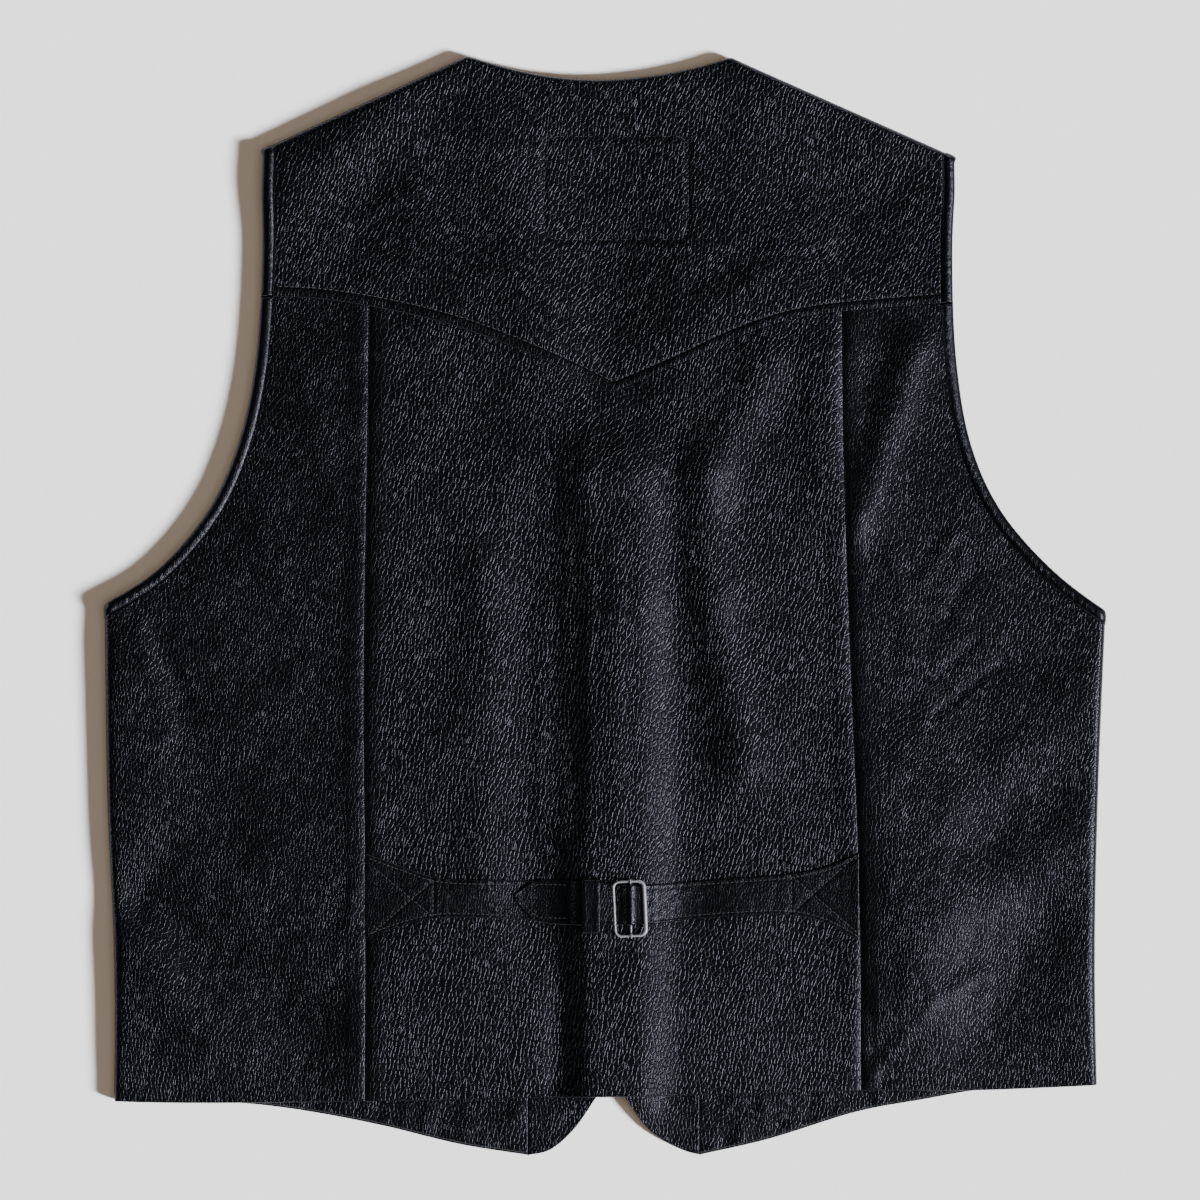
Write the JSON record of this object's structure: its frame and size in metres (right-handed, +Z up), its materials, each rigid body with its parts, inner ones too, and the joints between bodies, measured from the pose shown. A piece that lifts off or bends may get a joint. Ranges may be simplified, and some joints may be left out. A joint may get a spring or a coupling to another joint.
{
  "type": "leather vest",
  "caption": "Men's black leather vest laid flat on its closed fronts, back up, with a pointed yoke, panel seams, bound armholes and a buckled cinch strap.",
  "frame": {"origin": "on the ground, under the middle of the outline of the vest as it lies", "axes": "+Z up, out of the back panel; +Y toward the neck; +X toward the wearer's right side"},
  "size_m": [0.5604, 0.615, 0.0144],
  "materials": {
    "leather": "pebbled grain, soft sheen",
    "leather_trim": "pebbled grain pressed smoother at folded edges",
    "buckle_metal": "dark grey plated wire, satin"
  },
  "bodies": {
    "root": {"back_yoke": "leather", "back_centre": "leather", "back_side_left": "leather", "back_side_right": "leather", "band_yoke_left": "leather_trim", "band_yoke_right": "leather_trim", "band_side_left": "leather_trim", "band_side_right": "leather_trim", "band_front_left": "leather_trim", "band_front_right": "leather_trim", "front_left": "leather", "front_right": "leather", "front_facing_left": "leather", "front_facing_right": "leather", "hem_facing_left": "leather", "hem_facing_right": "leather", "strap_left": "leather_trim", "strap_right": "leather_trim", "keeper": "leather_trim", "buckle_frame": "buckle_metal", "buckle_bar": "buckle_metal"}
  },
  "joints": []
}
